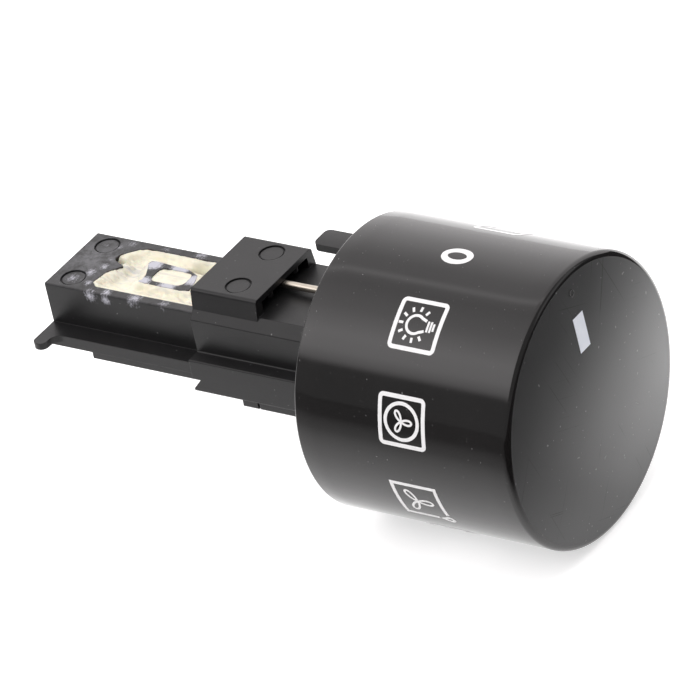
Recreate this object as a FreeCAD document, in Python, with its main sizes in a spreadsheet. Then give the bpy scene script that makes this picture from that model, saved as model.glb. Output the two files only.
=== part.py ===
"""Push-push selector knob: a cap on a guide sleeve that slides along a greased cam block.

Frame, in millimetres: the origin is the mouth of the shaft socket, on the knob's axis, at the
rear end of the cam block. The axis is Y and the knob faces -Y. +Z is the side of the cam track,
and X is to the right when the knob is seen from the front. The part is modelled popped out.
A place along the axis is written as a station: the distance forward of the origin, so Y = -station.
"""
import FreeCAD, Part
import math
import os
import Sketcher

# Driving dimensions: name, value in millimetres (or a count), what it is.
DIMENSIONS = [
    # cam block
    ("block_length", 46.25, "cam block, rear end to front end"),
    ("block_half_width", 6.2, "half the width of the upper block"),
    ("block_top", 6.3, "height of the cam face above the axis"),
    ("block_bottom", -4.45, "underside of the lower half"),
    ("flange_half_width", 8.85, "half the width of the guide flange"),
    ("flange_top", 0.43, "upper face of the flange"),
    ("flange_thickness", 1.65, "thickness of the flange"),
    ("lower_start", 5.25, "station where the lower half begins"),
    ("lug_reach", 11.4, "tip of the stop lugs, from the axis"),
    ("lug_width", 2.0, "length of the stop lugs along the axis"),
    ("lug_thickness", 0.95, "thickness of the stop lugs"),
    ("lug_round", 0.9, "rounding of the lug tips"),
    ("lug_fillet", 1.3, "fillet where a lug meets the flange"),
    ("edge_soft", 0.2, "moulded edge radius of the small parts"),
    # cam track
    ("track_depth", 2.2, "depth of the cam track"),
    ("track_half_width", 4.85, "half the width of the track"),
    ("track_front", 28.65, "station of the track's front wall, the popped-out stop"),
    ("return_end", 6.25, "station of the rear end of the return channel"),
    ("cusp_station", 8.1, "station of the cusp that turns the wire"),
    ("cusp_side", 0.4, "side position of the cusp"),
    ("push_end", 5.85, "station of the rear end of the push-in channel"),
    ("island_rear", 11.0, "station of the island's rear tip"),
    ("notch_station", 12.3, "station of the latch notch in the island"),
    ("island_front", 19.9, "station of the island's front end"),
    ("island_half_width", 2.35, "half the width of the island"),
    ("grease_pan_depth", 1.2, "depth of the hollow in the island"),
    ("mark_radius", 1.75, "radius of the ejector marks"),
    ("mark_depth", 0.12, "depth of the ejector marks"),
    ("mark_groove", 0.25, "width of the groove round an ejector mark"),
    ("mark_groove_depth", 0.28, "depth of the groove round an ejector mark"),
    ("mark_side", 3.9, "side position of the ejector marks"),
    ("mark_station", 3.05, "station of the block's ejector marks"),
    # shaft socket and its clip
    ("shaft_bore", 3.05, "radius of the round part of the shaft socket"),
    ("key_bore", 3.0, "half the width across the sides of the keyed part"),
    ("socket_round_length", 9.0, "length of the round part of the socket"),
    ("socket_depth", 16.0, "full depth of the socket"),
    ("shaft_flat", 1.55, "height of the shaft's flat above the axis"),
    ("boss_radius", 4.2, "outside of the socket boss under the flange"),
    ("clip_half_width", 1.3, "half the width of the clip's leaf"),
    ("clip_thickness", 0.35, "thickness of the clip's leaf"),
    ("clip_start", 0.6, "station of the clip's rear end"),
    ("clip_length", 7.6, "length of the clip's leaf"),
    ("clip_play", 0.05, "play around the clip in its groove"),
    # knob's travel and its stops
    ("travel", 20.5, "stroke of the knob from popped out to fully pushed in"),
    ("stop_station", 32.0, "station of the rear face of the keeper's stop ribs"),
    ("rib_length", 1.5, "length of a stop rib along the axis"),
    ("rib_half_width", 0.5, "half the width of a stop rib"),
    ("rib_side", 5.0, "side position of the stop ribs"),
    ("rib_height", 1.2, "height of the stop ribs above the keeper's floor"),
    ("stop_play", 0.3, "play beyond each end of the ribs' travel"),
    # guide sleeve
    ("slide_clearance", 0.15, "clearance between the sleeve and the block"),
    ("sleeve_rear", 24.25, "station of the sleeve's rear end"),
    ("sleeve_top", 7.9, "top of the sleeve ahead of the bridge"),
    ("sleeve_top_half_width", 6.5, "half the width of the sleeve's flat top"),
    ("sleeve_half_width", 7.8, "half the width across the sleeve's side walls"),
    ("shoulder_height", 6.4, "height of the lower edge of the top chamfer"),
    ("ledge_height", 1.6, "height of the ledge over the skirt"),
    ("skirt_half_width", 9.9, "half the width across the skirt"),
    ("skirt_bottom", -3.1, "underside of the skirt"),
    ("lead_in", 1.3, "lead-in at the rear end of the skirt's slot"),
    ("bridge_length", 10.1, "length of the bridge over the wire"),
    ("bridge_top", 10.3, "top of the bridge"),
    ("bridge_base_half_width", 6.9, "half the width of the bridge at its foot"),
    ("bridge_half_width", 6.45, "half the width of the bridge at its top"),
    ("bridge_round", 0.5, "rounding along the top of the bridge"),
    ("bridge_wall", 1.2, "wall of the bridge"),
    ("bridge_roof", 0.8, "roof of the bridge"),
    ("peg_radius", 0.5, "radius of the guide pegs under the bridge"),
    ("peg_side", 2.9, "side position of the guide pegs"),
    ("peg_length", 0.7, "length of the guide pegs"),
    # keeper under the sleeve
    ("keeper_rear", 31.35, "station of the keeper's rear end"),
    ("keeper_front", 68.0, "station of the keeper's front end"),
    ("keeper_half_width", 9.6, "half the width across the keeper's flanges"),
    ("keeper_flange", 1.15, "thickness of the keeper's flanges"),
    ("keeper_wall", 1.2, "wall of the keeper's trough"),
    ("keeper_groove", 0.3, "width of the groove across the keeper's flanges"),
    ("keeper_groove_station", 33.65, "station of the groove across the flanges"),
    # latch wire
    ("wire_radius", 0.5, "radius of the latch wire"),
    ("wire_height", 8.9, "height of the wire's straight run"),
    ("wire_anchor", 41.25, "station where the wire is anchored in the sleeve"),
    ("wire_tip", 27.75, "station of the wire's tip in the track"),
    ("wire_bend", 1.3, "bend radius of the wire at its centre line"),
    ("wire_floor_gap", 0.3, "gap between the wire's tip and the track's floor"),
    ("wire_hole_clearance", 0.1, "clearance of the wire in its anchor hole"),
    ("wire_anchor_depth", 1.2, "how far the wire's end goes into the sleeve's roof"),
    # return spring
    ("spring_pocket", 3.5, "radius of the spring's pockets"),
    ("spring_pocket_depth", 10.0, "depth of the spring's pocket in the block"),
    ("spring_radius", 2.8, "mean radius of the return spring"),
    ("spring_wire", 0.35, "radius of the spring's wire"),
    ("spring_turns", 13.0, "turns of the return spring"),
    # cap
    ("knob_radius", 19.0, "outside radius of the cap"),
    ("knob_rear", 46.85, "station of the cap's rim"),
    ("face_station", 78.45, "station of the edge of the cap's face"),
    ("face_dome", 0.9, "how far the face's middle stands proud of its edge"),
    ("face_wall", 2.0, "thickness of the cap's face"),
    ("cap_wall", 1.4, "thickness of the cap's barrel"),
    ("face_fillet", 0.8, "rounding between the barrel and the face"),
    ("rim_round", 0.35, "rounding of the rim"),
    ("collar_radius", 12.9, "radius of the sleeve's round front collar"),
    ("collar_thickness", 2.0, "thickness of the collar"),
    ("seat_wall", 1.3, "wall of the collar's seat in the cap"),
    ("seat_lip", 0.6, "how far the snap lips reach over the collar"),
    ("seat_lip_length", 1.2, "length of the snap lips"),
    ("seat_clearance", 0.05, "clearance around the collar in its seat"),
    ("marker_half_width", 1.12, "half the width of the face marker"),
    ("marker_low", 8.0, "lower end of the face marker, from the axis"),
    ("marker_high", 12.9, "upper end of the face marker, from the axis"),
    ("marker_depth", 0.7, "depth of the marker's pocket below the face's edge plane"),
    ("gate_height", 16.1, "height of the moulding gate's mark above the axis"),
    ("gate_radius", 0.55, "outside radius of the gate mark"),
    ("gate_depth", 0.15, "depth of the gate mark"),
    # index ring
    ("ring_thickness", 1.0, "thickness of the index ring"),
    ("ring_length", 12.0, "length of the index ring"),
    ("ring_inset", 0.6, "how far the ring lies inside the cap's rim"),
    ("ring_clearance", 0.05, "clearance between the ring and the cap"),
    ("tongue_reach", 5.2, "how far the tongue stands out of the rim"),
    ("tongue_tip_half_width", 1.75, "half the width of the tongue at its tip"),
    ("tongue_root_half_width", 2.6, "half the width of the tongue at the rim"),
]


class Size:
    """A length that carries its number and the spreadsheet expression that gives it."""

    def __init__(self, number, text):
        self.number = number
        self.text = text

    def joined(self, other, sign, number):
        return Size(number, "(%s %s %s)" % (self.text, sign, sized(other).text))

    def __add__(self, other):
        return self.joined(other, "+", self.number + sized(other).number)

    def __sub__(self, other):
        return self.joined(other, "-", self.number - sized(other).number)

    def __mul__(self, other):
        return self.joined(other, "*", self.number * sized(other).number)

    def __truediv__(self, other):
        return self.joined(other, "/", self.number / sized(other).number)

    def __neg__(self):
        return Size(-self.number, "(0 - %s)" % self.text)


def sized(value):
    return value if isinstance(value, Size) else Size(float(value), "%r" % float(value))


class Sheet:
    """The driving dimensions, as attributes that can be added and subtracted."""


def write_sheet(doc):
    """Puts the dimensions into the document's spreadsheet and returns them as sizes."""
    sheet = doc.addObject("Spreadsheet::Sheet", "Dims")
    sizes = Sheet()
    for row, (name, value, note) in enumerate(DIMENSIONS, start=1):
        sheet.set("A%d" % row, name)
        sheet.set("B%d" % row, str(value))
        sheet.set("C%d" % row, note)
        sheet.setAlias("B%d" % row, name)
        setattr(sizes, name, Size(float(value), "Dims." + name))
    doc.recompute()
    return sizes


# ---------------------------------------------------------------- sketch helpers
# Plane roles. A sketch on XZ_Plane has x = X and y = Z, and its offset is a station.
# A sketch on XY_Plane has x = X and y = Y, and its offset is a height.
# A sketch on YZ_Plane has x = Y and y = Z, and its offset is a side position.
# corner of an eight-sided figure whose sides lie 1 from its centre
OCTAGON_CORNER = math.tan(math.pi / 8)

ACROSS = "XZ_Plane"
FROM_ABOVE = "XY_Plane"
FROM_SIDE = "YZ_Plane"


def sketch_on(body, name, plane, offset=0):
    sketch = body.newObject("Sketcher::SketchObject", name)
    origin = [item for item in body.Origin.OriginFeatures if item.Role == plane][0]
    sketch.AttachmentSupport = [(origin, "")]
    sketch.MapMode = "FlatFace"
    sketch.setExpression("AttachmentOffset.Base.z", sized(offset).text)
    return sketch


def bind(sketch, kind, *rest):
    """Adds a dimensional constraint whose value follows its expression."""
    target = sized(rest[-1])
    index = sketch.addConstraint(Sketcher.Constraint(kind, *rest[:-1], target.number))
    sketch.setExpression("Constraints[%d]" % index, target.text)


def place(sketch, geometry, point, where):
    """Fixes one point of a piece of sketch geometry at two sizes."""
    bind(sketch, "DistanceX", -1, 1, geometry, point, where[0])
    bind(sketch, "DistanceY", -1, 1, geometry, point, where[1])


def polygon(sketch, points):
    """Closed outline through the points, each a pair of sizes."""
    corners = [FreeCAD.Vector(sized(x).number, sized(y).number, 0) for x, y in points]
    first = sketch.GeometryCount
    count = len(points)
    for index in range(count):
        sketch.addGeometry(Part.LineSegment(corners[index], corners[(index + 1) % count]))
    for index in range(count):
        following = first + (index + 1) % count
        sketch.addConstraint(Sketcher.Constraint("Coincident", first + index, 2, following, 1))
    for index, point in enumerate(points):
        place(sketch, first + index, 1, point)


def rectangle(sketch, left, right, low, high):
    polygon(sketch, [(left, low), (right, low), (right, high), (left, high)])


def circle(sketch, across, up, radius):
    centre = FreeCAD.Vector(sized(across).number, sized(up).number, 0)
    normal = FreeCAD.Vector(0, 0, 1)
    index = sketch.addGeometry(Part.Circle(centre, normal, sized(radius).number))
    place(sketch, index, 3, (across, up))
    bind(sketch, "Radius", index, radius)


def mirrored_outline(half):
    """An outline symmetric about the sketch's vertical axis, from its right half."""
    return half + [(-x, y) for x, y in reversed(half)]


# ---------------------------------------------------------------- feature helpers
def pad(body, sketch, length):
    feature = body.newObject("PartDesign::Pad", sketch.Name + "_pad")
    feature.Profile = sketch
    feature.setExpression("Length", sized(length).text)
    sketch.Document.recompute()
    return feature


def cut(body, sketch, depth, reverse=False):
    """A pocket that is checked to remove material."""
    doc = sketch.Document
    before = body.Shape.Volume
    feature = body.newObject("PartDesign::Pocket", sketch.Name + "_cut")
    feature.Profile = sketch
    feature.Reversed = reverse
    feature.setExpression("Length", sized(depth).text)
    doc.recompute()
    if not body.Shape.Volume < before - 1e-6:
        raise RuntimeError("%s removes nothing" % feature.Name)
    return feature


def edges_where(feature, test):
    return ["Edge%d" % (i + 1) for i, edge in enumerate(feature.Shape.Edges) if test(edge)]


def soften(body, name, radius, test, kind="PartDesign::Fillet"):
    """Rounds (or chamfers) the edges of the body's tip that pass the test."""
    tip = body.Tip
    names = edges_where(tip, test)
    if not names:
        raise RuntimeError("%s finds no edge" % name)
    feature = body.newObject(kind, name)
    feature.Base = (tip, names)
    feature.setExpression("Size" if kind.endswith("Chamfer") else "Radius", sized(radius).text)
    body.Document.recompute()
    return feature


def is_line(edge):
    return not edge.Degenerated and edge.Curve.TypeId == "Part::GeomLine"


def is_circle(edge):
    return not edge.Degenerated and edge.Curve.TypeId == "Part::GeomCircle"


def runs_along(edge, axis):
    """True for a straight edge parallel to the axis, 0 for X, 1 for Y or 2 for Z."""
    if not is_line(edge):
        return False
    ends = [vertex.Point for vertex in edge.Vertexes]
    return all(abs(ends[0][other] - ends[1][other]) < 1e-6 for other in range(3) if other != axis)


def near(value, size):
    return abs(value - sized(size).number) < 1e-4


def middle(edge):
    return edge.valueAt((edge.FirstParameter + edge.LastParameter) / 2)


def new_body(doc, label):
    body = doc.addObject("PartDesign::Body", label)
    body.Label = label
    return body


# ---------------------------------------------------------------- cam block
def track_outline(d):
    """The cam track seen from above: a box with a heart-shaped rear end."""
    half = d.track_half_width
    stations = [
        (-half, d.return_end + 1.0),
        (-half + 0.85, d.return_end),
        (d.cusp_side - 1.9, d.return_end + 0.4),
        (d.cusp_side, d.cusp_station),
        (d.cusp_side + 0.7, d.push_end + 0.5),
        (d.cusp_side + 1.3, d.push_end),
        (d.cusp_side + 2.2, d.push_end + 0.2),
        (half - 0.55, d.push_end + 2.0),
        (half, d.push_end + 3.3),
        (half, d.track_front),
        (-half, d.track_front),
    ]
    return [(side, -station) for side, station in stations]


def island_outline(d):
    """The island that the wire goes round, with the latch notch in its rear end."""
    half = d.island_half_width
    stations = [
        (-half + 0.25, d.notch_station - 0.55),
        (-half + 0.75, d.notch_station + 0.05),
        (-half + 1.85, d.notch_station - 0.05),
        (half - 1.35, d.island_rear + 0.55),
        (half - 0.35, d.island_rear),
        (half + 0.2, d.island_rear + 0.15),
        (half + 0.3, d.island_rear + 0.85),
        (half - 0.15, d.island_front - 2.65),
        (half - 0.95, d.island_front - 0.8),
        (half - 2.3, d.island_front - 0.25),
        (-half + 0.45, d.island_front + 0.15),
        (-half + 0.1, d.island_front - 1.25),
        (-half + 0.2, d.notch_station + 1.55),
    ]
    return [(side, -station) for side, station in stations]


def ring_groove(body, name, d, top, station):
    """Grooves round the edges of a pair of ejector marks."""
    for side, hand in ((-1, "near"), (1, "far")):
        groove = sketch_on(body, f"{name}_groove_{hand}", FROM_ABOVE, top)
        circle(groove, d.mark_side * side, -station, d.mark_radius)
        circle(groove, d.mark_side * side, -station, d.mark_radius - d.mark_groove)
        cut(body, groove, d.mark_groove_depth)


def make_cam_block(doc, d):
    body = new_body(doc, "cam_block")
    flange_bottom = d.flange_top - d.flange_thickness

    upper = sketch_on(body, "upper_block", ACROSS)
    rectangle(upper, -d.block_half_width, d.block_half_width, flange_bottom, d.block_top)
    pad(body, upper, d.block_length)

    flange = sketch_on(body, "flange", FROM_ABOVE, flange_bottom)
    rectangle(flange, -d.flange_half_width, d.flange_half_width, -d.block_length, sized(0))
    pad(body, flange, d.flange_thickness)
    lugs = sketch_on(body, "stop_lugs", FROM_ABOVE, d.flange_top - d.lug_thickness)
    rectangle(lugs, -d.lug_reach, d.lug_reach, -d.lug_width, sized(0))
    pad(body, lugs, d.lug_thickness)

    lower = sketch_on(body, "lower_half", ACROSS, d.lower_start)
    rectangle(lower, -d.block_half_width, d.block_half_width, d.block_bottom, flange_bottom)
    pad(body, lower, d.block_length - d.lower_start)

    boss = sketch_on(body, "socket_boss", ACROSS)
    circle(boss, 0, 0, d.boss_radius)
    pad(body, boss, d.lower_start)

    lug_tip = lambda edge: runs_along(edge, 2) and near(abs(middle(edge).x), d.lug_reach)
    soften(body, "lug_tips", d.lug_round, lug_tip)
    lug_root = lambda edge: (
        runs_along(edge, 2)
        and near(abs(middle(edge).x), d.flange_half_width)
        and near(middle(edge).y, -d.lug_width)
    )
    soften(body, "lug_roots", d.lug_fillet, lug_root)
    long_edge = lambda edge: (
        runs_along(edge, 1)
        and near(abs(middle(edge).x), d.block_half_width)
        and (near(middle(edge).z, d.block_top) or near(middle(edge).z, d.block_bottom))
    )
    soften(body, "long_edges", d.edge_soft, long_edge)

    track = sketch_on(body, "cam_track", FROM_ABOVE, d.block_top)
    polygon(track, track_outline(d))
    polygon(track, island_outline(d))
    cut(body, track, d.track_depth)
    track_corner = lambda edge: (
        runs_along(edge, 2)
        and near(edge.Length, d.track_depth)
        and -d.track_front.number + 1 < middle(edge).y
    )
    soften(body, "track_corners", d.edge_soft, track_corner)

    pan = sketch_on(body, "island_hollow", FROM_ABOVE, d.block_top)
    pan_side = d.island_half_width - 0.8
    rectangle(pan, -pan_side + 0.1, pan_side + 0.1, -d.island_front + 1.4, -d.notch_station - 1.0)
    cut(body, pan, d.grease_pan_depth)
    pan_corner = lambda edge: runs_along(edge, 2) and near(edge.Length, d.grease_pan_depth)
    soften(body, "island_hollow_corners", d.edge_soft * 5, pan_corner)

    marks = sketch_on(body, "ejector_marks", FROM_ABOVE, d.block_top)
    for side in (-1, 1):
        circle(marks, d.mark_side * side, -d.mark_station, d.mark_radius)
    cut(body, marks, d.mark_depth)
    ring_groove(body, "ejector_mark", d, d.block_top, d.mark_station)

    socket = sketch_on(body, "shaft_socket", ACROSS)
    circle(socket, 0, 0, d.shaft_bore)
    cut(body, socket, d.socket_round_length, reverse=True)
    keyed = sketch_on(body, "keyed_socket", ACROSS, d.socket_round_length)
    # eight-sided below the shaft's flat, so that each side grips the shaft on a line
    corner = d.key_bore * OCTAGON_CORNER
    polygon(keyed, mirrored_outline([
        (corner, -d.key_bore),
        (d.key_bore, -corner),
        (d.key_bore, corner),
        (d.key_bore + corner - d.shaft_flat, d.shaft_flat),
    ]))
    cut(body, keyed, d.socket_depth - d.socket_round_length, reverse=True)

    groove = sketch_on(body, "clip_groove", ACROSS)
    groove_half = d.clip_half_width + d.clip_play
    groove_top = d.shaft_bore + d.clip_thickness + d.clip_play * 2
    rectangle(groove, -groove_half, groove_half, sized(0), groove_top)
    cut(body, groove, d.clip_start + d.clip_length + d.clip_play, reverse=True)

    spring_pocket = sketch_on(body, "spring_pocket", ACROSS, d.block_length)
    circle(spring_pocket, 0, 0, d.spring_pocket)
    cut(body, spring_pocket, d.spring_pocket_depth)

    slots = sketch_on(body, "stop_slots", FROM_ABOVE, d.block_bottom)
    slot_half = d.rib_half_width + d.slide_clearance
    slot_front = d.stop_station + d.rib_length + d.stop_play / 10
    slot_rear = d.stop_station - d.travel - d.stop_play
    for side in (-1, 1):
        middle_line = d.rib_side * side
        rectangle(slots, middle_line - slot_half, middle_line + slot_half, -slot_front, -slot_rear)
    cut(body, slots, d.rib_height, reverse=True)
    return body


def make_shaft_clip(doc, d):
    """Spring-steel leaf that lies in the socket's groove and presses on the shaft."""
    body = new_body(doc, "shaft_clip")
    leaf = sketch_on(body, "leaf", ACROSS, d.clip_start)
    low = d.shaft_bore + d.clip_play
    rectangle(leaf, -d.clip_half_width, d.clip_half_width, low, low + d.clip_thickness)
    pad(body, leaf, d.clip_length)
    return body


# ---------------------------------------------------------------- guide sleeve
def channel_sizes(d):
    """Inside sizes of the sleeve, from the block and the clearance that it slides with."""
    inside = Sheet()
    inside.half_width = d.block_half_width + d.slide_clearance
    inside.top = d.block_top + d.slide_clearance
    inside.slot_half_width = d.flange_half_width + d.slide_clearance
    inside.slot_top = d.flange_top + d.slide_clearance
    inside.slot_bottom = d.flange_top - d.flange_thickness - d.slide_clearance
    return inside


def make_guide_sleeve(doc, d):
    body = new_body(doc, "guide_sleeve")
    inside = channel_sizes(d)
    collar_rear = d.face_station - d.face_wall - d.collar_thickness - d.seat_clearance

    channel = sketch_on(body, "channel", ACROSS, d.sleeve_rear)
    outside_half = [
        (inside.half_width, d.skirt_bottom),
        (d.skirt_half_width, d.skirt_bottom),
        (d.skirt_half_width, d.ledge_height),
        (d.sleeve_half_width, d.ledge_height),
        (d.sleeve_half_width, d.shoulder_height),
        (d.sleeve_top_half_width, d.sleeve_top),
    ]
    inside_half = [
        (inside.half_width, inside.slot_bottom),
        (inside.slot_half_width, inside.slot_bottom),
        (inside.slot_half_width, inside.slot_top),
        (inside.half_width, inside.slot_top),
        (inside.half_width, inside.top),
    ]
    polygon(channel, mirrored_outline(outside_half) + list(reversed(mirrored_outline(inside_half))))
    pad(body, channel, collar_rear - d.sleeve_rear)

    # softened long edges, before the bridge and the collar are added
    outer_edge = lambda edge: runs_along(edge, 1) and (
        (near(abs(middle(edge).x), d.skirt_half_width))
        or near(abs(middle(edge).x), d.sleeve_top_half_width)
        or (near(abs(middle(edge).x), d.sleeve_half_width))
    )
    soften(body, "sleeve_edges", d.edge_soft, outer_edge)

    collar = sketch_on(body, "collar", ACROSS, collar_rear)
    circle(collar, 0, 0, d.collar_radius)
    pad(body, collar, d.collar_thickness)

    bridge = sketch_on(body, "bridge", ACROSS, d.sleeve_rear)
    foot_height = (d.sleeve_top + d.shoulder_height) / 2
    polygon(bridge, mirrored_outline([
        (d.bridge_base_half_width, inside.top),
        (d.bridge_base_half_width, foot_height),
        (d.bridge_half_width, d.bridge_top),
    ]))
    pad(body, bridge, d.bridge_length)
    bridge_edge = lambda edge: (
        runs_along(edge, 1)
        and middle(edge).z > d.sleeve_top.number + 0.5
        and edge.Length > d.bridge_length.number - 0.5
    )
    soften(body, "bridge_edges", d.bridge_round, bridge_edge)

    cavity = sketch_on(body, "bridge_cavity", ACROSS, d.sleeve_rear + d.bridge_wall)
    cavity_half = d.bridge_half_width - d.bridge_wall
    rectangle(cavity, -cavity_half, cavity_half, d.sleeve_top, d.bridge_top - d.bridge_roof)
    cut(body, cavity, d.bridge_length - d.bridge_wall, reverse=True)

    window = sketch_on(body, "wire_window", FROM_ABOVE, d.sleeve_top)
    window_front = d.sleeve_rear + d.bridge_length - d.bridge_wall
    rectangle(window, -cavity_half, cavity_half, -window_front, -d.sleeve_rear - d.bridge_wall)
    cut(body, window, d.sleeve_top - d.block_top)

    pegs = sketch_on(body, "guide_pegs", FROM_ABOVE, d.bridge_top - d.bridge_roof - d.peg_length)
    for side in (-1, 1):
        peg_station = d.sleeve_rear + d.bridge_length - d.peg_radius
        circle(pegs, d.peg_side * side, -peg_station, d.peg_radius)
    pad(body, pegs, d.peg_length + d.bridge_roof / 2)

    marks = sketch_on(body, "bridge_marks", FROM_ABOVE, d.bridge_top)
    for side in (-1, 1):
        mark_station = d.sleeve_rear + d.bridge_length * 0.57
        circle(marks, d.mark_side * side, -mark_station, d.mark_radius)
    cut(body, marks, d.mark_depth)
    ring_groove(body, "bridge_mark", d, d.bridge_top, mark_station)

    anchor = sketch_on(body, "wire_anchor_hole", FROM_ABOVE, d.sleeve_top)
    circle(anchor, 0, -d.wire_anchor, d.wire_radius + d.wire_hole_clearance)
    cut(body, anchor, d.sleeve_top - d.block_top)

    lead = sketch_on(body, "slot_lead_in", FROM_SIDE, -d.skirt_half_width)
    polygon(lead, [
        (-d.sleeve_rear, inside.slot_bottom + 0.2),
        (-d.sleeve_rear, inside.slot_bottom - d.lead_in),
        (-d.sleeve_rear - d.lead_in, inside.slot_bottom + 0.2),
    ])
    cut(body, lead, d.skirt_half_width * 2, reverse=True)
    return body


def make_sleeve_keeper(doc, d):
    """Cover snapped under the sleeve: a trough round the block's lower half, with stop ribs."""
    body = new_body(doc, "sleeve_keeper")
    inner_half = d.block_half_width + d.slide_clearance
    inner_floor = d.block_bottom - d.slide_clearance
    flange_bottom = d.skirt_bottom - d.keeper_flange
    length = d.keeper_front - d.keeper_rear

    trough = sketch_on(body, "trough", ACROSS, d.keeper_rear)
    outside_half = [
        (inner_half + d.keeper_wall, inner_floor - d.keeper_wall),
        (inner_half + d.keeper_wall, flange_bottom),
        (d.keeper_half_width, flange_bottom),
        (d.keeper_half_width, d.skirt_bottom),
        (inner_half, d.skirt_bottom),
        (inner_half, inner_floor),
    ]
    polygon(trough, mirrored_outline(outside_half))
    pad(body, trough, length)
    trough_edge = lambda edge: (
        runs_along(edge, 1) and middle(edge).z < d.skirt_bottom.number - 0.1
        and abs(middle(edge).x) > inner_half.number + 0.1
    )
    soften(body, "keeper_edges", d.edge_soft, trough_edge)

    groove = sketch_on(body, "flange_groove", FROM_ABOVE, d.skirt_bottom)
    for side in (-1, 1):
        rectangle(
            groove,
            (d.keeper_half_width - 0.3) * side,
            (d.keeper_half_width + 0.5) * side,
            -d.keeper_groove_station - d.keeper_groove,
            -d.keeper_groove_station,
        )
    cut(body, groove, d.keeper_flange)

    ribs = sketch_on(body, "stop_ribs", FROM_ABOVE, inner_floor - d.keeper_wall / 2)
    for side in (-1, 1):
        middle_line = d.rib_side * side
        rectangle(
            ribs,
            middle_line - d.rib_half_width,
            middle_line + d.rib_half_width,
            -d.stop_station - d.rib_length,
            -d.stop_station,
        )
    pad(body, ribs, d.keeper_wall / 2 + d.rib_height)
    return body


# ---------------------------------------------------------------- wire and spring
def make_latch_wire(doc, d):
    """Follower wire: anchored in the sleeve's roof, along over the roof, down into the track."""
    body = new_body(doc, "latch_wire")
    anchor_y = -d.wire_anchor
    tip_y = -d.wire_tip
    anchor_z = d.sleeve_top - d.wire_anchor_depth
    tip_z = d.block_top - d.track_depth + d.wire_floor_gap
    bend = d.wire_bend
    run_z = d.wire_height

    profile = sketch_on(body, "wire_section", FROM_ABOVE, anchor_z)
    circle(profile, 0, anchor_y, d.wire_radius)

    path = sketch_on(body, "wire_path", FROM_SIDE)
    start = FreeCAD.Vector(anchor_y.number, anchor_z.number, 0)
    low_bend = FreeCAD.Vector(anchor_y.number, (run_z - bend).number, 0)
    after_bend = FreeCAD.Vector((anchor_y + bend).number, run_z.number, 0)
    before_tip = FreeCAD.Vector((tip_y - bend).number, run_z.number, 0)
    tip_bend = FreeCAD.Vector(tip_y.number, (run_z - bend).number, 0)
    end = FreeCAD.Vector(tip_y.number, tip_z.number, 0)
    normal = FreeCAD.Vector(0, 0, 1)
    quarter = math.pi / 2
    first_centre = FreeCAD.Vector((anchor_y + bend).number, (run_z - bend).number, 0)
    last_centre = FreeCAD.Vector((tip_y - bend).number, (run_z - bend).number, 0)
    first_circle = Part.Circle(first_centre, normal, bend.number)
    last_circle = Part.Circle(last_centre, normal, bend.number)
    rise = path.addGeometry(Part.LineSegment(start, low_bend))
    first_arc = path.addGeometry(Part.ArcOfCircle(first_circle, quarter, 2 * quarter))
    run = path.addGeometry(Part.LineSegment(after_bend, before_tip))
    last_arc = path.addGeometry(Part.ArcOfCircle(last_circle, 0, quarter))
    drop = path.addGeometry(Part.LineSegment(tip_bend, end))
    for one, one_end, other, other_end in (
        (rise, 2, first_arc, 2),
        (first_arc, 1, run, 1),
        (run, 2, last_arc, 2),
        (last_arc, 1, drop, 1),
    ):
        path.addConstraint(Sketcher.Constraint("Tangent", one, one_end, other, other_end))
    place(path, rise, 1, (anchor_y, anchor_z))
    place(path, drop, 2, (tip_y, tip_z))
    path.addConstraint(Sketcher.Constraint("Vertical", rise))
    path.addConstraint(Sketcher.Constraint("Horizontal", run))
    bind(path, "DistanceY", -1, 1, run, 1, run_z)
    bind(path, "Radius", first_arc, bend)
    bind(path, "Radius", last_arc, bend)
    doc.recompute()

    pipe = body.newObject("PartDesign::AdditivePipe", "wire")
    pipe.Profile = profile
    pipe.Spine = (path, ["Edge%d" % (i + 1) for i in range(len(path.Shape.Edges))])
    doc.recompute()
    return body


def make_return_spring(doc, d):
    """Compression coil between the block's front pocket and the sleeve's collar."""
    collar_rear = d.face_station - d.face_wall - d.collar_thickness - d.seat_clearance
    rear = d.block_length - d.spring_pocket_depth + d.spring_wire
    length = collar_rear - d.spring_wire - rear
    coil = doc.addObject("Part::Helix", "spring_coil")
    coil.setExpression("Radius", d.spring_radius.text)
    coil.setExpression("Height", length.text)
    coil.setExpression("Pitch", (length / d.spring_turns).text)
    section = doc.addObject("Part::Circle", "spring_section")
    section.setExpression("Radius", d.spring_wire.text)
    section.setExpression("Placement.Base.x", d.spring_radius.text)
    section.Placement.Rotation = FreeCAD.Rotation(FreeCAD.Vector(1, 0, 0), 90)
    doc.recompute()
    spring = doc.addObject("Part::Sweep", "return_spring")
    spring.Sections = [section]
    spring.Spine = (coil, ["Edge%d" % (i + 1) for i in range(len(coil.Shape.Edges))])
    spring.Solid = True
    spring.Frenet = True
    spring.Label = "return_spring"
    spring.setExpression("Placement.Base.y", (-rear).text)
    spring.Placement.Rotation = FreeCAD.Rotation(FreeCAD.Vector(1, 0, 0), 90)
    doc.recompute()
    return spring


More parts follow.
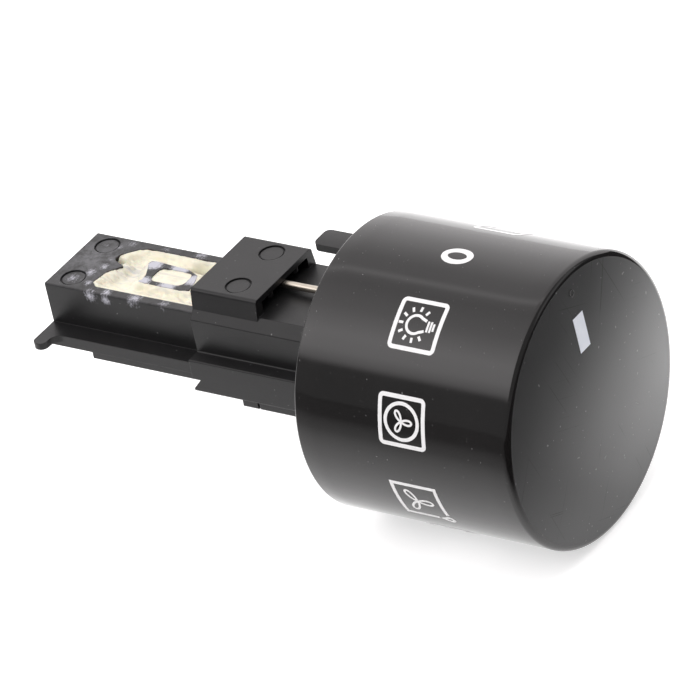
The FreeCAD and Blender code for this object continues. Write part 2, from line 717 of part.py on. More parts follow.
# ---------------------------------------------------------------- cap
def make_knob_cap(doc, d):
    body = new_body(doc, "knob_cap")
    length = d.face_station - d.knob_rear
    dome_radius = (d.knob_radius * d.knob_radius + d.face_dome * d.face_dome) / (d.face_dome * 2)

    barrel = sketch_on(body, "barrel", ACROSS, d.knob_rear)
    circle(barrel, 0, 0, d.knob_radius)
    pad(body, barrel, length)

    # the domed face: a circular segment turned about the axis
    dome = sketch_on(body, "dome", FROM_SIDE)
    apex = FreeCAD.Vector(-(d.face_station + d.face_dome).number, 0, 0)
    foot = FreeCAD.Vector(-d.face_station.number, 0, 0)
    rim = FreeCAD.Vector(-d.face_station.number, d.knob_radius.number, 0)
    centre = FreeCAD.Vector(apex.x + dome_radius.number, 0, 0)
    rim_angle = math.pi - math.atan2(rim.y, centre.x - rim.x)
    axis_line = dome.addGeometry(Part.LineSegment(apex, foot))
    base_line = dome.addGeometry(Part.LineSegment(foot, rim))
    sphere = Part.Circle(centre, FreeCAD.Vector(0, 0, 1), dome_radius.number)
    face_arc = dome.addGeometry(Part.ArcOfCircle(sphere, rim_angle, math.pi))
    dome.addConstraint(Sketcher.Constraint("Coincident", axis_line, 2, base_line, 1))
    dome.addConstraint(Sketcher.Constraint("Coincident", base_line, 2, face_arc, 1))
    dome.addConstraint(Sketcher.Constraint("Coincident", face_arc, 2, axis_line, 1))
    place(dome, axis_line, 1, (-(d.face_station + d.face_dome), sized(0)))
    place(dome, axis_line, 2, (-d.face_station, sized(0)))
    place(dome, base_line, 2, (-d.face_station, d.knob_radius))
    bind(dome, "Radius", face_arc, dome_radius)
    turned = body.newObject("PartDesign::Revolution", "dome_turned")
    turned.Profile = dome
    turned.ReferenceAxis = (dome, ["H_Axis"])
    turned.Angle = 360
    doc.recompute()

    hollow = sketch_on(body, "hollow", ACROSS, d.knob_rear)
    circle(hollow, 0, 0, d.knob_radius - d.cap_wall)
    cut(body, hollow, length - d.face_wall, reverse=True)

    # seat for the sleeve's collar: a ring wall with four snap lips
    seat_inner = d.collar_radius + d.seat_clearance
    lip_rear = d.face_station - d.face_wall - d.collar_thickness - d.seat_clearance * 2
    seat_rear = lip_rear - d.seat_lip_length
    seat = sketch_on(body, "collar_seat", ACROSS, seat_rear)
    circle(seat, 0, 0, seat_inner + d.seat_wall)
    circle(seat, 0, 0, seat_inner)
    pad(body, seat, d.face_station - d.face_wall - seat_rear)
    lips = sketch_on(body, "snap_lips", ACROSS, seat_rear)
    circle(lips, 0, 0, seat_inner + d.seat_wall / 2)
    circle(lips, 0, 0, seat_inner - d.seat_lip)
    pad(body, lips, d.seat_lip_length)
    gaps = sketch_on(body, "lip_gaps", ACROSS, seat_rear)
    reach = seat_inner + d.seat_wall + 0.5
    gap_half = d.collar_radius * 0.35
    rectangle(gaps, -reach, reach, -gap_half, gap_half)
    cut(body, gaps, d.seat_lip_length + d.collar_thickness, reverse=True)

    corner = lambda edge: (
        is_circle(edge)
        and near(edge.Curve.Radius, d.knob_radius)
        and near(middle(edge).y, -d.face_station)
    )
    soften(body, "face_edge", d.face_fillet, corner)
    rim_edges = lambda edge: is_circle(edge) and near(middle(edge).y, -d.knob_rear)
    soften(body, "rim_edges", d.rim_round, rim_edges)

    marker = sketch_on(body, "marker_pocket", ACROSS, d.face_station - d.marker_depth)
    rectangle(marker, -d.marker_half_width, d.marker_half_width, d.marker_low, d.marker_high)
    cut(body, marker, d.marker_depth + d.face_dome + 1, reverse=True)

    gate = sketch_on(body, "gate_mark", ACROSS, face_at_gate(d, dome_radius) - d.gate_depth)
    circle(gate, 0, d.gate_height, d.gate_radius)
    circle(gate, 0, d.gate_height, d.gate_radius / 2)
    cut(body, gate, d.gate_depth * 4, reverse=True)
    return body


def face_at_gate(d, dome_radius):
    """Station of the domed face at the height of the gate mark."""
    return d.face_station + d.face_dome - d.gate_height * d.gate_height / (dome_radius * 2)


def make_pointer_inlay(doc, d):
    """Pale bar that fills the pocket in the face, level with the dome."""
    dome_radius = (d.knob_radius * d.knob_radius + d.face_dome * d.face_dome) / (d.face_dome * 2)
    bar = doc.addObject("Part::Box", "inlay_bar")
    bar.setExpression("Length", (d.marker_half_width * 2).text)
    bar.setExpression("Width", (d.marker_depth + d.face_dome + 1).text)
    bar.setExpression("Height", (d.marker_high - d.marker_low).text)
    bar.setExpression("Placement.Base.x", (-d.marker_half_width).text)
    front = d.face_station + d.face_dome + 1
    bar.setExpression("Placement.Base.y", (-front).text)
    bar.setExpression("Placement.Base.z", d.marker_low.text)
    dome = doc.addObject("Part::Sphere", "inlay_dome")
    dome.setExpression("Radius", dome_radius.text)
    dome.setExpression("Placement.Base.y", (dome_radius - d.face_station - d.face_dome).text)
    inlay = doc.addObject("Part::Common", "pointer_inlay")
    inlay.Base = bar
    inlay.Tool = dome
    inlay.Label = "pointer_inlay"
    doc.recompute()
    return inlay


def make_index_ring(doc, d):
    """Liner inside the cap's rim, with the tongue that stands out of it."""
    body = new_body(doc, "index_ring")
    outer = d.knob_radius - d.cap_wall - d.ring_clearance
    ring_rear = d.knob_rear + d.ring_inset
    ring = sketch_on(body, "liner", ACROSS, ring_rear)
    circle(ring, 0, 0, outer)
    circle(ring, 0, 0, outer - d.ring_thickness)
    pad(body, ring, d.ring_length)

    # the tongue is a curved plate: a tapered block cut to the ring's own curve
    blank = sketch_on(body, "tongue", FROM_ABOVE, outer - d.ring_thickness * 1.6)
    tip_y = -d.knob_rear + d.tongue_reach
    polygon(blank, mirrored_outline([
        (d.tongue_root_half_width, -ring_rear - d.ring_length / 2),
        (d.tongue_root_half_width, -d.knob_rear),
        (d.tongue_tip_half_width, -d.knob_rear + 1.2),
        (d.tongue_tip_half_width, tip_y),
    ]))
    pad(body, blank, d.ring_thickness * 1.6)
    outside = sketch_on(body, "tongue_outside", ACROSS, d.knob_rear - d.tongue_reach - 1)
    circle(outside, 0, 0, outer + 3)
    circle(outside, 0, 0, outer)
    cut(body, outside, d.ring_length + d.tongue_reach + 2, reverse=True)
    inner = sketch_on(body, "tongue_inside", ACROSS, d.knob_rear - d.tongue_reach - 1)
    circle(inner, 0, 0, outer - d.ring_thickness)
    cut(body, inner, d.ring_length + d.tongue_reach + 2, reverse=True)
    tip_corner = lambda edge: (
        runs_along(edge, 2) and near(middle(edge).y, tip_y)
        and near(abs(middle(edge).x), d.tongue_tip_half_width)
    )
    soften(body, "tongue_tip", d.edge_soft * 4, tip_corner)
    return body


# ---------------------------------------------------------------- build and write
MAKERS = [
    make_cam_block,
    make_shaft_clip,
    make_guide_sleeve,
    make_sleeve_keeper,
    make_latch_wire,
    make_return_spring,
    make_knob_cap,
    make_pointer_inlay,
    make_index_ring,
]


def main():
    doc = FreeCAD.newDocument("selector_knob")
    sizes = write_sheet(doc)
    pieces = [maker(doc, sizes) for maker in MAKERS]
    doc.recompute()
    for item in doc.Objects:
        if "Invalid" in item.State or "Error" in item.State:
            raise RuntimeError("%s is %s" % (item.Name, item.State))
    for piece in pieces:
        shape = piece.Shape
        if shape.isNull() or not shape.isValid() or not shape.Solids:
            raise RuntimeError("%s has no valid solid" % piece.Label)
    os.makedirs("parts", exist_ok=True)
    for piece in pieces:
        piece.Shape.exportStep(os.path.join("parts", piece.Label + ".step"))
        box = piece.Shape.optimalBoundingBox()
        print("%-16s %d solid  %9.2f mm3  X %.2f..%.2f  Y %.2f..%.2f  Z %.2f..%.2f" % (
            piece.Label, len(piece.Shape.Solids), piece.Shape.Volume,
            box.XMin, box.XMax, box.YMin, box.YMax, box.ZMin, box.ZMax))


main()
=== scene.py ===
"""Looks, light and camera for the push-push selector knob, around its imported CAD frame.

Everything is in metres in the frame's own axes: the knob's axis is Y with the face towards -Y,
+Z is the side of the cam track, and the origin is the mouth of the shaft socket.
"""

import math

import bmesh
import bpy
from mathutils import Matrix, Vector, noise
from mathutils.bvhtree import BVHTree


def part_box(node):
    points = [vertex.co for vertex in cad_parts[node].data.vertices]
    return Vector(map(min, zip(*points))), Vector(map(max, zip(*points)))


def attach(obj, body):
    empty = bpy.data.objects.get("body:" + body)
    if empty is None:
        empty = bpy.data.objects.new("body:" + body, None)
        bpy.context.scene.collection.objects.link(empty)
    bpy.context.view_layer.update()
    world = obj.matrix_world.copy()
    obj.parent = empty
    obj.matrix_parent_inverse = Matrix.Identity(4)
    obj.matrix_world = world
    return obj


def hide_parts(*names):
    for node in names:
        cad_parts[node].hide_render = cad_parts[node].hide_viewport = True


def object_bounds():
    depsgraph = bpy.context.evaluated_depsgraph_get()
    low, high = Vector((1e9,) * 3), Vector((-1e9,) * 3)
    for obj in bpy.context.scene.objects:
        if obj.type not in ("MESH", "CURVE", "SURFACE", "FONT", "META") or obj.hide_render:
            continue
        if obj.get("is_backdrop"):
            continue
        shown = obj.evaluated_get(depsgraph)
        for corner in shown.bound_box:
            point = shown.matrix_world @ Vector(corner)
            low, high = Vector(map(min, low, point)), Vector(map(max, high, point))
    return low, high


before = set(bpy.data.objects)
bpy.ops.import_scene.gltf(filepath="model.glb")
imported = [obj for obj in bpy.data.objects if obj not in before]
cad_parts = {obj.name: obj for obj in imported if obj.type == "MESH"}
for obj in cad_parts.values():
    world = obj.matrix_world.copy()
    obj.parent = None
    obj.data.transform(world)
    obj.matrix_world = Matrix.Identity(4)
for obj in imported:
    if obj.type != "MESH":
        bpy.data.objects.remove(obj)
cad_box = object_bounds()

MM = 0.001
CAP_LOW, CAP_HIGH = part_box("knob_cap")
CAM_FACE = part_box("cam_block")[1].z
COLLAR_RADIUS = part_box("guide_sleeve")[1].x

# cap
CAP_RADIUS = CAP_HIGH.x
FACE_APEX = CAP_LOW.y
CAP_RIM = CAP_HIGH.y
FACE_DOME = 0.9 * MM
FACE_FILLET = 0.8 * MM
FACE_WALL = 2.0 * MM
CAP_WALL = 1.4 * MM
FACE_EDGE = FACE_APEX + FACE_DOME
DOME_RADIUS = (CAP_RADIUS ** 2 + FACE_DOME ** 2) / (2 * FACE_DOME)
GATE_MARK_UP = 16.1 * MM
# how far the cap's own mesh stays inside its CAD solid
SKIN = 0.03 * MM

# printed symbols, drawn in millimetres about their own centres and then scaled
SYMBOL_RING = CAP_RIM - 16.1 * MM
SYMBOL_PITCH = 36
SYMBOL_SCALE = 1.075
FRAME_HALF = 2.955
LINE_SHARE = 0.94


# ---------------------------------------------------------------- shaders
def grey(level):
    return (level, level, level, 1.0)


def put(tree, socket, value):
    """Links a socket to the value, or sets it; None leaves it as it is."""
    if isinstance(value, bpy.types.NodeSocket):
        tree.links.new(value, socket)
    elif value is not None:
        socket.default_value = value


def add_node(tree, kind, *inputs, **settings):
    """A new node with its settings, and its inputs in order."""
    made = tree.nodes.new(kind)
    for name, value in settings.items():
        setattr(made, name, value)
    for index, value in enumerate(inputs):
        put(tree, made.inputs[index], value)
    return made


class Shader:
    """A material with a Principled BSDF, and short ways to add nodes to it."""

    def __init__(self, name, **constants):
        self.material = bpy.data.materials.new(name)
        self.material.use_nodes = True
        self.tree = self.material.node_tree
        self.surface = self.tree.nodes["Principled BSDF"]
        for socket, value in constants.items():
            self.surface.inputs[socket.replace("_", " ")].default_value = value
        self.place = self.node("ShaderNodeTexCoord").outputs["Object"]

    def node(self, kind, *inputs, **settings):
        return add_node(self.tree, kind, *inputs, **settings)

    def put(self, socket, value):
        put(self.tree, socket, value)

    def math(self, operation, first, second=None):
        return self.node("ShaderNodeMath", first, second, operation=operation).outputs[0]

    def stretched(self, scale):
        """Object coordinates with a different scale along each axis."""
        return self.node("ShaderNodeVectorMath", self.place, scale, operation="MULTIPLY").outputs[0]

    def noise(self, scale, detail=4.0, roughness=0.55, where=None):
        made = self.node("ShaderNodeTexNoise", where or self.place)
        made.inputs["Scale"].default_value = scale
        made.inputs["Detail"].default_value = detail
        made.inputs["Roughness"].default_value = roughness
        return made.outputs[0]

    def band(self, value, low, high):
        """0 below low, 1 above high, smooth between."""
        made = self.node("ShaderNodeMapRange", value, low, high, interpolation_type="SMOOTHSTEP")
        return made.outputs[0]

    def ramp(self, value, start, end, first, last):
        """First at or below start, last at or above end, straight between."""
        return self.node("ShaderNodeMapRange", value, start, end, first, last).outputs[0]

    def between(self, value, low, high):
        """The value's 0 to 1 spread over low to high."""
        return self.ramp(value, 0.0, 1.0, low, high)

    def fade_from(self, point, near, far, first, last):
        """A ramp by the distance in metres from a point."""
        return self.ramp(self.distance_to(point), near, far, first, last)

    def mix(self, share, first, second):
        """Two colours mixed by the share of the second."""
        made = self.node("ShaderNodeMix", share, data_type="RGBA")
        colour_inputs = [socket for socket in made.inputs if socket.type == "RGBA"]
        for socket, colour in zip(colour_inputs, (first, second)):
            self.put(socket, colour)
        return next(socket for socket in made.outputs if socket.type == "RGBA")

    def bump(self, height, distance, strength=1.0, under=None):
        made = self.node("ShaderNodeBump")
        made.inputs["Strength"].default_value = strength
        made.inputs["Distance"].default_value = distance
        self.put(made.inputs["Height"], height)
        self.put(made.inputs["Normal"], under)
        return made.outputs[0]

    def axis(self, index):
        return self.node("ShaderNodeSeparateXYZ", self.place).outputs[index]

    def distance_to(self, point):
        made = self.node("ShaderNodeVectorMath", self.place, point, operation="DISTANCE")
        return made.outputs["Value"]

    def set(self, socket, value):
        self.put(self.surface.inputs[socket], value)


def gloss_black():
    """Polished black barrel: a deep gloss with faint waviness, haze and dust."""
    shader = Shader("gloss_black", IOR=1.5)
    dust = shader.band(shader.noise(2600.0, 2.0), 0.73, 0.78)
    haze = shader.noise(90.0, 5.0)
    base = shader.mix(haze, (0.006, 0.0055, 0.0055, 1), (0.012, 0.011, 0.011, 1))
    shader.set("Base Color", shader.mix(dust, base, grey(0.16)))
    shader.set("Roughness", shader.math("ADD", shader.between(haze, 0.05, 0.16),
                                        shader.math("MULTIPLY", dust, 0.4)))
    ripple = shader.bump(shader.noise(60.0, 1.0), 0.012 * MM)
    shader.set("Normal", shader.bump(dust, 0.02 * MM, 0.5, ripple))
    return shader.material


def scratch_set(shader, turn, across, along, threshold):
    """Thin straight scratches: noise drawn out along one direction of the face."""
    turned = shader.node("ShaderNodeVectorRotate", shader.place, rotation_type="Y_AXIS")
    turned.inputs["Angle"].default_value = turn
    long = shader.node("ShaderNodeVectorMath", turned.outputs[0], (across, 0.0, along),
                       operation="MULTIPLY").outputs[0]
    return shader.band(shader.noise(1.0, 0.0, where=long), threshold, threshold + 0.03)


def satin_face():
    """Fine-grained satin face with scratches and dust."""
    shader = Shader("satin_face", IOR=1.5)
    grain = shader.noise(5200.0, 3.0, 0.7)
    cloud = shader.noise(140.0, 4.0)
    scratches = shader.math("MAXIMUM", scratch_set(shader, 0.38, 4600.0, 42.0, 0.775),
                            scratch_set(shader, 2.62, 4200.0, 34.0, 0.785))
    scratches = shader.math("MAXIMUM", scratches, scratch_set(shader, 1.17, 4400.0, 60.0, 0.79))
    patchy = shader.math("MULTIPLY", scratches, shader.band(shader.noise(120.0, 3.0), 0.40, 0.62))
    dust = shader.band(shader.noise(1700.0, 1.0), 0.745, 0.775)
    marks = shader.math("MAXIMUM", patchy, dust)
    base = shader.mix(cloud, (0.017, 0.017, 0.0175, 1), (0.026, 0.026, 0.027, 1))
    base = shader.mix(patchy, base, grey(0.005))
    shader.set("Base Color", shader.mix(dust, base, grey(0.16)))
    shader.set("Roughness", shader.math("ADD", shader.between(cloud, 0.30, 0.38),
                                        shader.math("MULTIPLY", marks, 0.2)))
    fine = shader.bump(grain, 0.005 * MM)
    shader.set("Normal", shader.bump(patchy, 0.008 * MM, -0.6, fine))
    return shader.material


def moulded_black(name, smears_and_sheen=False):
    """Dull moulded black plastic with softened edges; with smears, the block's film of grease and a
    painted sheen that lightens its top face.
    """
    shader = Shader(name, IOR=1.40)
    grain = shader.noise(4200.0, 4.0, 0.7)
    cloud = shader.noise(260.0, 5.0, 0.6)
    flow = shader.noise(1.0, 3.0, where=shader.stretched((900.0, 70.0, 900.0)))
    tone = shader.math("ADD", shader.math("MULTIPLY", cloud, 0.6),
                       shader.math("MULTIPLY", flow, 0.4))
    base = shader.mix(tone, (0.004, 0.004, 0.0042, 1), (0.015, 0.0147, 0.0154, 1))
    rough = shader.between(cloud, 0.30, 0.46)
    edges = shader.node("ShaderNodeBevel", 0.12 * MM)
    normal = shader.bump(grain, 0.016 * MM, 0.8, edges.outputs[0])
    if smears_and_sheen:
        # painted sheen: the top face's base colour is lightened towards its rear middle, where the
        # light's sheen falls, together with a thin haze of grease
        rear_middle = (1.0 * MM, -3.2 * MM, CAM_FACE)
        sheen = shader.fade_from(rear_middle, 1.0 * MM, 7.0 * MM, 0.55, 0.12)
        upward = shader.band(shader.axis(2), CAM_FACE - 0.25 * MM, CAM_FACE - 0.05 * MM)
        painted_sheen_and_haze = shader.math("MULTIPLY", shader.math("MULTIPLY", sheen, upward),
                           shader.band(shader.noise(700.0, 6.0, 0.7), 0.3, 0.62))
        base = shader.mix(painted_sheen_and_haze, base, (0.19, 0.19, 0.205, 1))
        film = smear_mask(shader)
        base = shader.mix(film, base, (0.60, 0.60, 0.67, 1))
        normal = shader.bump(shader.math("MULTIPLY", film, shader.noise(3000.0, 3.0)),
                             0.05 * MM, 0.8, normal)
    dust = shader.band(shader.noise(2300.0, 1.0), 0.775, 0.80)
    base = shader.mix(dust, base, grey(0.14))
    shader.set("Base Color", base)
    shader.set("Roughness", rough)
    shader.set("Normal", normal)
    return shader.material


SMEAR_SPOTS = [
    # across, station from the rear end, height and reach in millimetres, then strength
    (-3.9, 3.0, 6.3, 2.7, 0.72),
    (-2.2, 4.6, 6.3, 2.0, 0.8),
    (-0.4, 5.6, 6.3, 1.7, 0.8),
    (1.2, 5.6, 6.3, 1.5, 0.6),
    (3.9, 2.6, 6.3, 1.9, 0.55),
    (5.3, 6.2, 6.3, 1.9, 0.7),
    (-5.6, 9.5, 6.3, 1.9, 0.85),
    (-5.6, 14.0, 6.3, 2.6, 0.85),
    (-5.6, 18.5, 6.3, 2.2, 0.7),
    (5.6, 11.5, 6.3, 2.2, 0.6),
    (5.6, 17.0, 6.3, 2.6, 0.75),
    (-6.2, 7.2, 5.7, 2.2, 0.85),
    (-6.2, 9.6, 5.4, 1.9, 0.8),
    (-1.9, 12.6, 6.3, 2.2, 1.3),
    (1.9, 12.0, 6.3, 2.2, 1.3),
    (-1.9, 16.5, 6.3, 2.8, 1.2),
    (2.0, 16.0, 6.3, 2.8, 1.35),
    (0.3, 19.3, 6.3, 2.3, 1.3),
    (-4.4, 5.8, 6.3, 1.5, 0.8),
    (4.0, 4.9, 6.3, 1.4, 0.7),
]


def smear_mask(shader):
    """Where a thin film of grease lies on the block: soft spots broken up by noise."""
    total = None
    for across, station, height, reach, strength in SMEAR_SPOTS:
        centre = (across * MM, -station * MM, height * MM)
        spot = shader.fade_from(centre, 0.0, reach * MM, strength, 0.0)
        total = spot if total is None else shader.math("MAXIMUM", total, spot)
    flecks = shader.noise(2900.0, 7.0, 0.78)
    streaks = shader.noise(1.0, 6.0, 0.75, where=shader.stretched((800.0, 3600.0, 800.0)))
    pattern = shader.math("ADD", shader.math("MULTIPLY", flecks, 0.55),
                          shader.math("MULTIPLY", streaks, 0.45))
    share = shader.math("ADD", shader.math("MULTIPLY", total, 0.50), pattern)
    return shader.math("MULTIPLY", shader.band(share, 0.72, 0.98), 0.85)


def grease_material():
    """Soft cream grease, thicker and yellower in places, greyer where it is thin."""
    shader = Shader("track_grease", IOR=1.46)
    body = shader.noise(420.0, 4.0)
    strokes = shader.noise(1.0, 4.0, where=shader.stretched((2600.0, 300.0, 900.0)))
    cream = shader.mix(body, (0.76, 0.71, 0.54, 1), (0.90, 0.88, 0.75, 1))
    thin = shader.math("MULTIPLY", shader.band(strokes, 0.45, 0.75), 0.35)
    cusp = (0.6 * MM, -9.3 * MM, CAM_FACE)
    wiped = shader.math("MULTIPLY", shader.fade_from(cusp, 0.6 * MM, 2.8 * MM, 0.75, 0.0),
                        shader.band(strokes, 0.3, 0.6))
    thin = shader.math("MAXIMUM", thin, wiped)
    shader.set("Base Color", shader.mix(thin, cream, (0.42, 0.43, 0.48, 1)))
    shader.set("Roughness", shader.between(body, 0.3, 0.5))
    shader.surface.inputs["Subsurface Weight"].default_value = 0.12
    shader.surface.inputs["Subsurface Scale"].default_value = 0.4 * MM
    ridges = shader.bump(strokes, 0.09 * MM, 0.7)
    shader.set("Normal", shader.bump(shader.noise(2600.0, 3.0), 0.02 * MM, 0.6, ridges))
    return shader.material


def ink_material():
    """White printed ink with a slightly uneven lay-down."""
    shader = Shader("symbol_print", IOR=1.5)
    patch = shader.noise(1500.0, 4.0)
    shader.set("Base Color", shader.mix(patch, grey(0.80), grey(0.90)))
    shader.set("Roughness", shader.between(patch, 0.3, 0.45))
    shader.set("Normal", shader.bump(shader.noise(6000.0, 2.0), 0.004 * MM))
    return shader.material


def inlay_material():
    """Pale blue-white plastic of the face marker."""
    shader = Shader("pale_inlay", IOR=1.5)
    patch = shader.noise(900.0, 4.0)
    shader.set("Base Color", shader.mix(patch, (0.74, 0.78, 0.86, 1), (0.86, 0.89, 0.95, 1)))
    shader.set("Roughness", shader.between(patch, 0.32, 0.48))
    shader.set("Normal", shader.bump(shader.noise(4200.0, 3.0), 0.008 * MM))
    return shader.material


def drawn_steel(name, dark, light, along):
    """Drawn steel wire or strip: fine lines along its length."""
    shader = Shader(name, Metallic=1.0)
    lines = shader.noise(1.0, 3.0, where=shader.stretched(along))
    stain = shader.noise(500.0, 4.0)
    shader.set("Base Color", shader.mix(stain, dark, light))
    shader.set("Roughness", shader.between(lines, 0.22, 0.42))
    shader.set("Normal", shader.bump(lines, 0.006 * MM))
    return shader.material


# ---------------------------------------------------------------- mesh helpers
def object_from(name, mesh_data, material=None):
    """An object of the bmesh, which is freed."""
    mesh = bpy.data.meshes.new(name)
    mesh_data.normal_update()
    mesh_data.to_mesh(mesh)
    mesh_data.free()
    made = bpy.data.objects.new(name, mesh)
    bpy.context.scene.collection.objects.link(made)
    if material:
        mesh.materials.append(material)
    return made


def arc(centre, radius, start, stop, steps):
    """Points of an arc in a plane, its angles in degrees."""
    points = []
    for step in range(steps + 1):
        angle = math.radians(start + (stop - start) * step / steps)
        points.append((centre[0] + radius * math.cos(angle), centre[1] + radius * math.sin(angle)))
    return points


def lathe(profile, segments, slot_of):
    """A closed solid turned about Y from (radius, y) points that begin and end on the axis."""
    bm = bmesh.new()
    rings = []
    for radius, y in profile:
        if radius < 1e-9:
            rings.append([bm.verts.new((0, y, 0))])
            continue
        ring = []
        for step in range(segments):
            angle = 2 * math.pi * step / segments
            ring.append(bm.verts.new((radius * math.cos(angle), y, radius * math.sin(angle))))
        rings.append(ring)
    for index in range(len(rings) - 1):
        near, far = rings[index], rings[index + 1]
        for step in range(segments):
            following = (step + 1) % segments
            corners = [near[step % len(near)], near[following % len(near)],
                       far[following % len(far)], far[step % len(far)]]
            unique = list(dict.fromkeys(corners))
            face = bm.faces.new(unique)
            face.material_index = slot_of(index)
            face.smooth = True
    bmesh.ops.recalc_face_normals(bm, faces=bm.faces)
    return bm


# ---------------------------------------------------------------- cap
def dome_height(across, up):
    """Y of the face's surface at a point of it."""
    return FACE_APEX + SKIN + DOME_RADIUS - math.sqrt(DOME_RADIUS ** 2 - across ** 2 - up ** 2)


def cap_profile():
    """The cap's section as (radius, y) points, with the index at which each stretch begins."""
    radius = CAP_RADIUS - SKIN
    edge = radius - FACE_FILLET
    dome_steps = 24
    dome = []
    for step in range(dome_steps + 1):
        out = edge * step / dome_steps
        dome.append((out, dome_height(out, 0.0)))
    dome_end = dome[-1][1]
    fillet = arc((edge, dome_end + FACE_FILLET), FACE_FILLET, -90, 0, 10)[1:]
    rim_round = 0.35 * MM
    barrel_steps = 12
    barrel_start = fillet[-1][1]
    barrel_end = CAP_RIM - SKIN - rim_round
    barrel = [(radius, barrel_start + (barrel_end - barrel_start) * step / barrel_steps)
              for step in range(1, barrel_steps + 1)]
    rim = arc((radius - rim_round, barrel_end), rim_round, 0, 90, 5)[1:]
    inner = CAP_RADIUS - CAP_WALL
    floor = FACE_EDGE + FACE_WALL
    seat_inner = COLLAR_RADIUS + 0.05 * MM
    seat_outer = seat_inner + 1.3 * MM
    seat_rear = floor + 3.3 * MM
    lip_end = seat_rear - 1.2 * MM
    lip_inner = seat_inner - 0.6 * MM
    inside = [
        (inner + rim_round, rim[-1][1]),
        (inner, barrel_end),
        (inner, floor),
        (seat_outer, floor),
        (seat_outer, seat_rear),
        (lip_inner, seat_rear),
        (lip_inner, lip_end),
        (seat_inner, lip_end),
        (seat_inner, floor),
        (0.0, floor),
    ]
    starts = {"fillet": len(dome) - 1}
    starts["inside"] = len(dome) + len(fillet) + len(barrel) + len(rim) - 1
    return dome + fillet + barrel + rim + inside, starts


def build_cap(gloss, satin, dull):
    """The cap in place of its CAD node: gloss barrel, satin face, dull inside."""
    profile, starts = cap_profile()
    gloss_slot, satin_slot, dull_slot = range(3)

    def slot_of(index):
        if index < starts["fillet"]:
            return satin_slot
        return gloss_slot if index < starts["inside"] else dull_slot

    cap = object_from("cap_shell", lathe(profile, 288, slot_of), gloss)
    cap.data.materials.append(satin)
    cap.data.materials.append(dull)
    cap.data.set_sharp_from_angle(angle=math.radians(35))
    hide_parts("knob_cap")
    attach(cap, "knob")


def build_gate_mark(material):
    """The small ring that the moulding gate leaves on the face."""
    bm = bmesh.new()
    ring_radius = 0.42 * MM
    tube = 0.12 * MM
    steps, around = 40, 8
    rings = []
    for step in range(steps):
        angle = 2 * math.pi * step / steps
        loop = []
        for turn in range(around):
            swing = 2 * math.pi * turn / around
            out = ring_radius + tube * math.cos(swing)
            x = out * math.cos(angle)
            z = GATE_MARK_UP + out * math.sin(angle)
            loop.append(bm.verts.new((x, dome_height(x, z) - 0.3 * tube * math.sin(swing), z)))
        rings.append(loop)
    for step in range(steps):
        this, following = rings[step], rings[(step + 1) % steps]
        for turn in range(around):
            after = (turn + 1) % around
            face = bm.faces.new([this[turn], this[after], following[after], following[turn]])
            face.smooth = True
    bmesh.ops.recalc_face_normals(bm, faces=bm.faces)
    mark = object_from("gate_mark", bm, material)
    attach(mark, "knob")


# ---------------------------------------------------------------- printed symbols
def resampled(path, closed, step):
    """The path with points every step or closer, corners kept."""
    points = [Vector(p) for p in path]
    ends = points + [points[0]] if closed else points
    fine = []
    for first, second in zip(ends, ends[1:]):
        count = max(1, math.ceil((second - first).length / step))
        fine += [first.lerp(second, index / count) for index in range(count)]
    if not closed:
        fine.append(ends[-1])
    return fine


def side_steps(points, closed):
    """Unit vectors across a path at each of its points, scaled at corners to keep the width."""
    count = len(points)
    steps = []
    for index, point in enumerate(points):
        before = points[index - 1] if closed or index else point
        after = points[(index + 1) % count] if closed or index < count - 1 else point
        leads = [v.normalized() for v in (point - before, after - point) if v.length > 1e-9]
        along = sum(leads, Vector((0, 0))).normalized()
        across = Vector((-along.y, along.x))
        square = Vector((-leads[0].y, leads[0].x))
        steps.append(across / max(0.6, across.dot(square)))
    return steps


def stroke(bm, path, width, angle, closed=False):
    """A printed line of a symbol: a thin closed ribbon laid on the barrel round its angle."""
    points = resampled(path, closed, 0.15)
    sides = side_steps(points, closed)
    top, bottom = CAP_RADIUS - 0.2 * SKIN, CAP_RADIUS - 2.5 * SKIN
    rows = []
    for point, side in zip(points, sides):
        row = []
        for offset, radius in ((-0.5, top), (0.5, top), (0.5, bottom), (-0.5, bottom)):
            across, up = (point + side * width * LINE_SHARE * offset) * MM * SYMBOL_SCALE
            turn = math.radians(angle) - across / CAP_RADIUS
            row.append(bm.verts.new((radius * math.cos(turn), SYMBOL_RING + up,
                                     radius * math.sin(turn))))
        rows.append(row)
    pairs = list(zip(rows, rows[1:] + rows[:1])) if closed else list(zip(rows, rows[1:]))
    for this, following in pairs:
        for corner in range(4):
            after = (corner + 1) % 4
            bm.faces.new([this[corner], this[after], following[after], following[corner]])
    if not closed:
        bm.faces.new(rows[0])
        bm.faces.new(list(reversed(rows[-1])))


def window_frame(bm, angle):
    """The rounded square round a symbol."""
    corner = 0.42
    centre = FRAME_HALF - corner
    path = []
    for x, y, start in ((1, 1, 0), (-1, 1, 90), (-1, -1, 180), (1, -1, 270)):
        path += arc((x * centre, y * centre), corner, start, start + 90, 4)
    stroke(bm, path, 0.55, angle, closed=True)


def turns(count):
    """Angles once round a circle."""
    return [2 * math.pi * step / count for step in range(count)]


def symbol_zero(bm, angle):
    path = [(1.08 * math.cos(turn), 1.66 * math.sin(turn)) for turn in turns(44)]
    stroke(bm, path, 0.84, angle, closed=True)


def symbol_lamp(bm, angle):
    window_frame(bm, angle)
    globe = (0.0, 0.35)
    neck = [(0.62, -1.05)] + arc(globe, 1.12, -38, 218, 26) + [(-0.62, -1.05)]
    stroke(bm, neck, 0.36, angle)
    for level, half in ((-1.38, 0.66), (-1.78, 0.66), (-2.16, 0.46)):
        stroke(bm, [(-half, level), (half, level)], 0.28, angle)
    for ray in range(9):
        direction = math.radians(-36 + ray * 31.5)
        inner, outer = 1.62, 2.22
        x, y = math.cos(direction), math.sin(direction)
        stroke(bm, [(globe[0] + inner * x, globe[1] + inner * y),
                    (globe[0] + outer * x, globe[1] + outer * y)], 0.34, angle)


